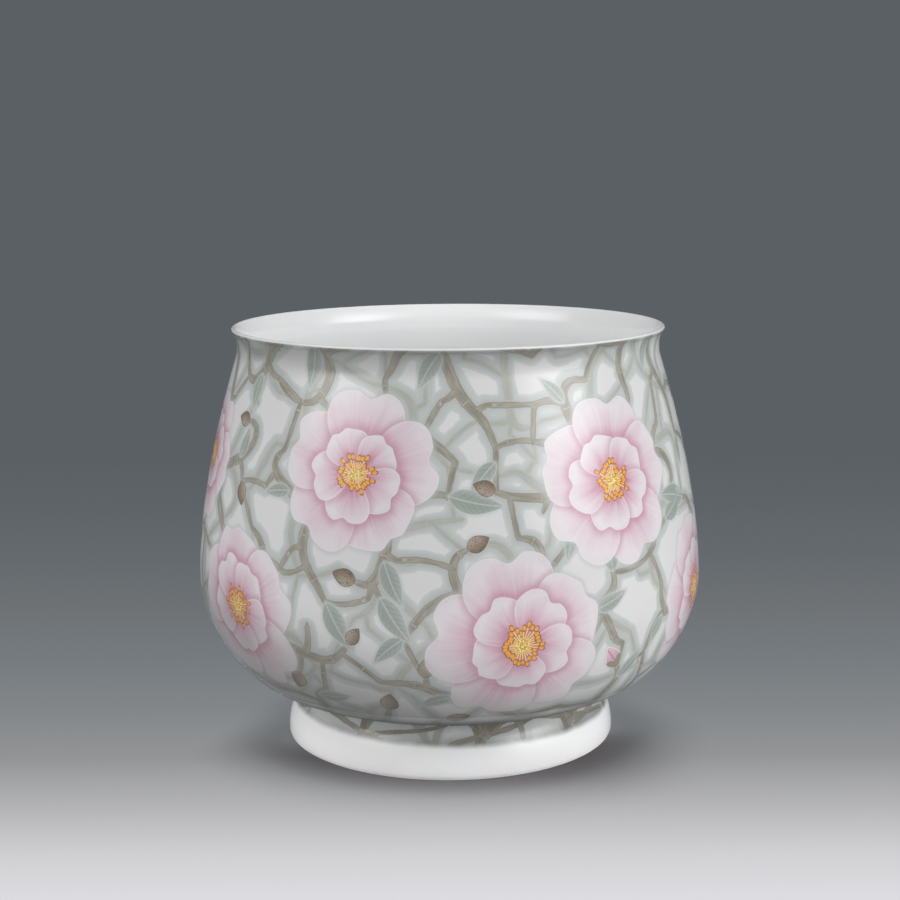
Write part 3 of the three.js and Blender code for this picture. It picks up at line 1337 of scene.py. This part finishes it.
keep_nearest_marks(bowl_skin, blossoms, ("blossom",), 0, 1)
keep_nearest_marks(bowl_skin, leaves, ("leaf", "leaf_beside"), 0.5, 0.2)
keep_nearest_marks(bowl_skin, buds, ("bud",), 0.5, 0.3)
keep_nearest_marks(bowl_skin, seed_heads, ("seed_head",), 0.5, 0.35)
print("the painted coat has", len(bowl_skin.mesh.attributes), "attributes")


# %% [markdown]
# ## Painting a twig
# A painted twig is a taupe stroke with a darker edge where the wash dried, a lighter ridge along its lit
# side, and small swellings where leaves have fallen. One group paints the stroke along one twig. Another
# lays two of them together and darkens only their common edge, so that a fork has no line across it.

# %% The twig groups
knot_spacing = 23.0
stroke_outputs = {"Colour": COLOUR, "Edge": NUMBER}
stroke_group, (place,), result = open_group("twig stroke", {"Place": VECTOR}, stroke_outputs)
along, across, half = split(place)
uneven = (cloud(joined(along * 0.05, half, 0.0), 1.0, 0.0) - 0.5) * 1.4
knot = abs((along / knot_spacing + uneven).fraction() - 0.5)
swelling = step_between(knot, 0.06, 0.0) * 0.14 + 1.0
wobble = (cloud(joined(along * 0.25, across * 0.1, half), 1.0, 2.0) - 0.5) * 0.8
wash = cloud(joined(along * 0.10, across * 0.6, half), 1.0, 3.0)
bark = cloud(joined(along * 0.5, across * 3.0, half), 1.0, 2.0)
tick = step_between(knot, 0.018, 0.008) * step_between(wash, 0.42, 0.52)
stroke = layers(
    srgb(164, 161, 150),
    (srgb(141, 137, 123), step_between(wash, 0.32, 0.68)),
    (srgb(177, 176, 166), step_between(across / half, 0.2, 0.8) * 0.30),
    (srgb(130, 122, 107), step_between(bark, 0.60, 0.72) * 0.30),
    (srgb(205, 204, 196), tick * 0.45),
)
feed(result, {"Colour": stroke, "Edge": half * swelling + wobble - abs(across)})

twig_inputs = {"Place": VECTOR, "Place beside": VECTOR, "Soft": NUMBER, "Rim": NUMBER}
twig_group, given, result = open_group("painted twigs", twig_inputs, {"Colour": COLOUR, "Cover": NUMBER})
place, place_beside, soft, rim = given
first = use_group(twig_group, stroke_group, Place=place)
second = use_group(twig_group, stroke_group, Place=place_beside)
both_edge = first["Edge"].at_least(second["Edge"])
twig_colour = layers(
    second["Colour"],
    (first["Colour"], step_between(first["Edge"], -0.2, 0.2)),
    (srgb(134, 127, 112), step_between(both_edge, 0.55, 0.10) * rim),
)
feed(result, {"Colour": twig_colour, "Cover": step_between(both_edge, soft * -0.5, soft * 0.5)})
print("a twig is drawn with", len(stroke_group.nodes), "nodes")

# %% [markdown]
# ## Painting a leaf
# A leaf is a pointed oval with a midrib and side veins that lean forward. It is drawn in thin grey-green
# wash, deeper beside the midrib and paler to the margin, with a fine pale line round it.

# %% What all marks share
drawn_edge = (-0.15, 0.15)


def open_mark(name):
    """A group that paints one kind of mark: its output node, and its place in parts."""
    outputs = {"Colour": COLOUR, "Cover": NUMBER, "Gap": NUMBER}
    group, (place,), result = open_group(name, {"Place": VECTOR}, outputs)
    return group, result, *split(place)


def close_mark(result, colour, edge):
    """Puts out the colour of a mark, its cover, and how far a point lies outside it."""
    feed(result, {"Colour": colour, "Cover": step_between(edge, *drawn_edge), "Gap": edge * -1.0})


def oval_edge(share, across, length, fullness, breadth, bluntness=1.0):
    """How far inside the edge of a pointed oval a point lies."""
    inside_share = share.at_least(0.0001).at_most(0.9999)
    half = (inside_share**fullness * math.pi).sine() ** bluntness * length * breadth
    past_ends = (share - 1.0).at_least(share * -1.0).at_least(0.0) * length
    return half - abs(across) - past_ends


# %% The leaf group
leaf_group, result, along, across, length = open_mark("painted leaf")
share = along / length
across = across + (share * 3.0).sine() * length * 0.035
edge = oval_edge(share, across, length, 0.72, 0.205)
side_vein = ((along - abs(across) * 1.1) / 2.9).fraction() - 0.5
vein_line = step_between(abs(side_vein), 0.13, 0.05) * step_between(edge, 0.2, 1.0)
wash = cloud(joined(along * 0.1, across * 0.35, length), 1.0, 3.0)
leaf_colour = layers(
    srgb(148, 156, 149),
    (srgb(174, 181, 177), wash * 0.6 + step_between(edge, 3.0, 0.3) * 0.5),
    (srgb(142, 153, 142), step_between(across, 0.0, -1.6) * 0.35),
    (srgb(132, 143, 132), vein_line * 0.40),
    (srgb(190, 198, 191), step_between(abs(across), 0.42, 0.18) * 0.65),
    (srgb(202, 209, 205), step_between(edge, 0.50, 0.2) * 0.6),
)
close_mark(result, leaf_colour, edge)
print("a leaf is drawn with", len(leaf_group.nodes), "nodes")

# %% [markdown]
# ## Painting buds and seed heads
# A bud is a closed pink drop in a grey-brown cup, and a seed head is a small brown hip with dark
# specks. Both are shaped by how wide they are at each place along their length.

# %% The bud group
bud_group, result, along, across, length = open_mark("painted bud")
share = along / length
edge = oval_edge(share, across, length, 0.8, 0.26)
fold = cloud(joined(along * 0.06, across * 0.6, length), 1.0, 2.0)
petal_seam = abs(across - (share - 0.5) * length * 0.16)
cup_edge = 0.30 + step_between(abs(across), 0.0, length * 0.16) * 0.14
cup_wash = cloud(joined(along * 0.5, across * 0.9, 0.0), 1.0, 2.0)
cup_colour = lay_over(srgb(132, 124, 106), srgb(158, 154, 134), cup_wash)
bud_colour = layers(
    srgb(184, 122, 146),
    (srgb(218, 196, 205), share * 0.75 + fold * 0.35),
    (srgb(176, 104, 132), step_between(petal_seam, 0.5, 0.15) * 0.6),
    (srgb(233, 226, 229), step_between(edge, 0.6, 0.2) * 0.7),
    (cup_colour, step_between(share, cup_edge + 0.02, cup_edge - 0.02)),
)
close_mark(result, bud_colour, edge)

# %% The seed head group
seed_group, result, along, across, length = open_mark("painted seed head")
share = along / length
edge = oval_edge(share, across, length, 0.82, 0.34, 0.8)
speckle = cloud(joined(along * 2.2, across * 2.2, length), 1.0, 2.0, 0.6)
seed_colour = layers(
    srgb(170, 158, 142),
    (srgb(132, 118, 103), step_between(across / length, 0.22, -0.3)),
    (srgb(120, 104, 90), step_between(share, 0.55, 0.95) * 0.7),
    (srgb(82, 68, 58), step_between(speckle, 0.56, 0.62) * 0.75),
    (srgb(104, 90, 78), step_between(edge, 0.6, 0.1) * 0.6),
)
close_mark(result, seed_colour, edge)
print("buds and seed heads are drawn with", len(bud_group.nodes) + len(seed_group.nodes), "nodes")

# %% [markdown]
# ## Painting a blossom
# Every petal is the same shape, so one formula draws all five. The angle round the blossom is cut into
# fifths, which gives each point the petal on its left and the one on its right. The left one lies on top,
# so the petals overlap like the blades of a pinwheel. Each petal runs from deep rose at its base to nearly
# white at its tip, in strokes that fan outwards, and is edged by a fine pale line.

# %% One whorl of petals
petal_count = 5
petal_turn = math.tau / petal_count
petal_half = math.radians(47)
petal_roundness = 4.2
petal_fullness = 2.6


def petal_edge(distance, angle, length, luck):
    """How far inside a petal's edge a point lies."""
    wave = (angle * 8.0 + luck * 6.3).sine() * 0.030 + 1.0
    notch = step_between(abs(angle + luck * 0.2 - 0.1), 0.20, 0.0) * 0.085
    tip = length * (wave - notch)
    out = distance / tip
    aside = abs(angle) / petal_half
    level = out**petal_roundness + aside**petal_fullness
    out_slope = out ** (petal_roundness - 1) * petal_roundness / tip
    aside_slope = aside ** (petal_fullness - 1) * (petal_fullness / petal_half) / distance
    slope = (out_slope * out_slope + aside_slope * aside_slope + 0.00001) ** 0.5
    return (1.0 - level) / slope


def petal_strokes(distance, angle, length, luck, radius):
    """The colour of a petal from base to tip, in fanned strokes with fine veins."""
    share = distance / length
    stroke = cloud(joined(angle * 16.0, share * 1.4, luck * 9.0 + radius), 1.0, 3.0, 0.6)
    broad = cloud(joined(angle * 3.0, share * 1.5, luck * 7.0 + radius), 1.0, 1.0)
    depth = share + (stroke - 0.5) * 0.34 + (broad - 0.5) * 0.45 + abs(angle) * 0.14
    colour = colour_steps(depth, (
        (0.12, srgb(152, 84, 110)),
        (0.30, srgb(182, 122, 144)),
        (0.50, srgb(204, 165, 180)),
        (0.70, srgb(213, 194, 202)),
        (0.94, srgb(219, 213, 216)),
    ))
    vein = abs((angle * 11.0 + (stroke - 0.5) * 0.5).fraction() - 0.5)
    vein_line = step_between(vein, 0.10, 0.03) * step_between(share, 0.85, 0.30)
    return lay_over(colour, srgb(190, 128, 150), vein_line * 0.22)


def whorl(distance, angle, radius, turn, luck_start):
    """A ring of petals: its colour, and the distance inside its edge."""
    sector = (angle + turn) / petal_turn
    left = sector.whole()
    petals = []
    for side in (0, 1):
        luck = chance((left + (2.0 * petal_count + side)).math("MODULO", petal_count) + luck_start)
        length = radius * (luck * 0.14 + 0.88)
        from_middle = (sector - left) * petal_turn - side * petal_turn
        petals.append((from_middle, length, luck, petal_edge(distance, from_middle, length, luck)))
    left_edge, right_edge = petals[0][3], petals[1][3]
    on_left = step_between(left_edge, *drawn_edge)
    *own, own_edge = [between(right_part, left_part, on_left) for left_part, right_part in zip(*petals)]
    cast = step_between(left_edge, -3.4, 0.2) * (1.0 - on_left)
    colour = layers(
        petal_strokes(distance, *own, radius),
        (srgb(190, 140, 158), cast * 0.55),
        (srgb(224, 219, 221), step_between(own_edge, 0.60, 0.15) * 0.7),
    )
    return colour, left_edge.at_least(right_edge)


# %% The blossom group
inner_size = 0.60
stamen_count = 30
stamen_turn = math.tau / stamen_count

blossom_group, result, x, y, radius = open_mark("painted blossom")
distance = (x * x + y * y + 0.0001) ** 0.5
angle = y.math("ARCTAN2", x)
from_heart = distance / radius
outer_colour, outer_edge = whorl(distance, angle, radius, 0.0, radius)
inner_colour, inner_edge = whorl(distance, angle, radius * inner_size, petal_turn * 0.6, radius * 3.0)
inner_cover = step_between(inner_edge, *drawn_edge)
inner_cast = step_between(inner_edge, -4.0, 0.0) * (1.0 - inner_cover)

stamen_sector = angle / stamen_turn
stamen = stamen_sector.whole()
aside = (stamen_sector - stamen - 0.5) * stamen_turn * distance
tip = radius * (chance(stamen + radius) * 0.13 + 0.11)
thread = step_between(abs(aside), 0.42, 0.16) * step_between(distance, tip, tip - 0.4)
anther_gap = (aside * aside + (distance - tip) ** 2.0 * 0.5) ** 0.5
pistil = step_between(from_heart, 0.085, 0.070)
pistil_grain = cloud(joined(x, y, radius), 1.4, 2.0)
blossom_colour = layers(
    outer_colour,
    (srgb(186, 128, 150), inner_cast * 0.60),
    (inner_colour, inner_cover),
    (srgb(158, 76, 92), step_between(from_heart, 0.20, 0.06) * 0.75),
    (srgb(238, 202, 128), thread),
    (srgb(150, 86, 34), step_between(anther_gap, 1.30, 1.05)),
    (srgb(232, 166, 62), step_between(anther_gap, 0.95, 0.65)),
    (srgb(196, 150, 60), pistil),
    (srgb(240, 222, 150), pistil * step_between(pistil_grain, 0.45, 0.6)),
)
close_mark(result, blossom_colour, outer_edge)
print("a blossom is drawn with", len(blossom_group.nodes), "nodes")


# %% [markdown]
# ## The painted glaze
# The painter works from the back to the front: a pale grey-green ground, white patches left open in the
# gaps, the far twigs in a thin wash, then the near twigs, leaves, buds and seed heads, and the blossoms
# last. Round each mark the wash is a little deeper. On top of the painting, painted shade darkens the
# colour under the lip and under the belly, more on the left, and most at the joint with the foot. The lip
# stays white, and under the belly the glaze is duller.

# %% The ground and its twigs
def mark_place(tree, name, output="Vector"):
    return made(tree, "ShaderNodeAttribute", {}, output, attribute_name=name)


def twigs_of(tree, name, soft, rim):
    place, beside = mark_place(tree, name), mark_place(tree, name + "_beside")
    return use_group(tree, twig_group, Place=place, Place_beside=beside, Soft=soft, Rim=rim)


def ground_with_twigs(place, soft, paler=None):
    """The grey-green ground with its white patches, the far twigs and the near twigs."""
    open_ground = mark_place(place.tree, "open_ground", "Fac")
    patch = open_ground + (cloud(place, 160.0, 2.0) - 0.5) * 1.6 + (cloud(place, 42.0, 1.0) - 0.5) * 3.0
    colour = layers(
        srgb(194, 199, 197),
        (srgb(180, 186, 184), cloud(place, 60.0, 4.0)),
        (srgb(172, 178, 175), step_between(open_ground, 2.0, 0.2) * 0.45),
        (srgb(197, 201, 200), step_between(patch, 1.8, 2.5) * 0.6),
        (srgb(214, 214, 213), step_between(patch, 2.8, 3.7)),
    )
    if paler:
        colour = lay_over(colour, srgb(236, 238, 237), paler)
    far = twigs_of(place.tree, "far_twig", soft * 2.5, 0.1)
    near = twigs_of(place.tree, "twig", soft, 0.6)
    far_colour = lay_over(srgb(190, 193, 187), far["Colour"], far["Cover"] * 0.55)
    return layers(colour, (far_colour, far["Cover"] * 0.75), (near["Colour"], near["Cover"]))


# %% Make the painted glaze
# The next values place painted shade: under the lip and under the belly, both deeper on the left, and a dark
# band at the joint with the foot.
painted_shade_under_lip = (0.1845, 0.1985)
painted_shade_lip_tilt = -0.045
painted_shade_under_belly = (0.080, 0.028)
painted_shade_belly_tilt = 0.25
painted_shade_lowest = (0.036, 0.028)
painted_shade_at_joint = (0.036, 0.029)
white_lip = ((height - 1.2) * mm, (height - 0.5) * mm)
dull_glaze = (0.042, 0.030)
around_mark = (srgb(184, 190, 187), 2.0, 0.40)
around_blossom = (srgb(182, 188, 185), 2.6, 0.55)
marks = (
    (leaf_group, "leaf_beside", around_mark),
    (leaf_group, "leaf", around_mark),
    (seed_group, "seed_head", around_mark),
    (bud_group, "bud", around_mark),
    (blossom_group, "blossom", around_blossom),
)

shader, place = open_material("painted glaze", outside_coat)
x, y, level = split(place)
colour = ground_with_twigs(place, 0.4)
for group, name, (wash, reach, share) in marks:
    mark = use_group(place.tree, group, Place=mark_place(place.tree, name))
    deeper = step_between(mark["Gap"], reach, 0.0) * share
    colour = layers(colour, (wash, deeper), (mark["Colour"], mark["Cover"]))
# Painted shade under the lip and the belly, uneven in strength, then the darker band at the joint.
shade_waver = (cloud(place, 30.0, 2.0) - 0.5) * 0.3 + 1.0
painted_lip_shade = step_between(level + x * painted_shade_lip_tilt, *painted_shade_under_lip) * shade_waver * 0.50
painted_belly_shade = step_between(level + x * painted_shade_belly_tilt, *painted_shade_under_belly) * shade_waver * 0.60
painted_belly_shade = painted_belly_shade + step_between(level, *painted_shade_lowest) * 0.40
colour = layers(
    colour,
    (srgb(86, 88, 83), painted_lip_shade.at_least(painted_belly_shade)),
    (srgb(40, 41, 39), step_between(level, *painted_shade_at_joint) * 0.7),
    (srgb(232, 232, 232), step_between(level, *white_lip)),
)
finish_glaze(shader, place, colour, 0.15, 0.10, 0.18, step_between(level, *dull_glaze))
print("the painted glaze has", len(place.tree.nodes), "nodes and its groups")

# %% [markdown]
# ## The foot
# The foot is white like the inside, but the grey-green ground and twigs of the painting are drawn on below
# the joint too, with twigs that slant round the hollow of the foot, and they end in a soft edge. A step over
# the height mixes the two.

# %% Make the glaze of the foot
run_down_ends = (0.0137, 0.0169)
run_down_tilt = 0.015
run_down_waver = 0.0012

shader, place = open_material("white glaze of the foot", foot_coat)
x, y, level = split(place)
brush = cloud(place, 120.0, 2.0)
white = lay_over(srgb(250, 250, 250), srgb(247, 248, 249), cloud(place, 22.0, 3.0))
# The ground on the foot is paler near the joint and darker towards its lower edge.
low_edge = step_between(level, 0.0215, 0.0145)
ground = ground_with_twigs(place, 0.5, (1.0 - low_edge) * 0.55)
ground = lay_over(ground, srgb(96, 99, 94), brush * 0.06 + low_edge * 0.48)
edge = level + x * run_down_tilt + (brush - 0.5) * run_down_waver
colour = lay_over(white, ground, step_between(edge, *run_down_ends))
finish_glaze(shader, place, colour, 0.12, 0.08, 0.16)
print("the glaze of the foot has", len(place.tree.nodes), "nodes and its groups")

# %% [markdown]
# ## Compare the sizes
# The fine pieces have to keep the size of the imported model. Both boxes are gathered, and the largest step
# of the fine pieces past the imported box is printed.

# %% Gather the sizes
low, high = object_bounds()
sizes = {
    "cad": [list(cad_low), list(cad_high)],
    "visual": [list(low), list(high)],
}
past_box = max(*(high - cad_high), *(cad_low - low)) / mm
print("largest step past the packed box:", round(past_box, 4), "mm")
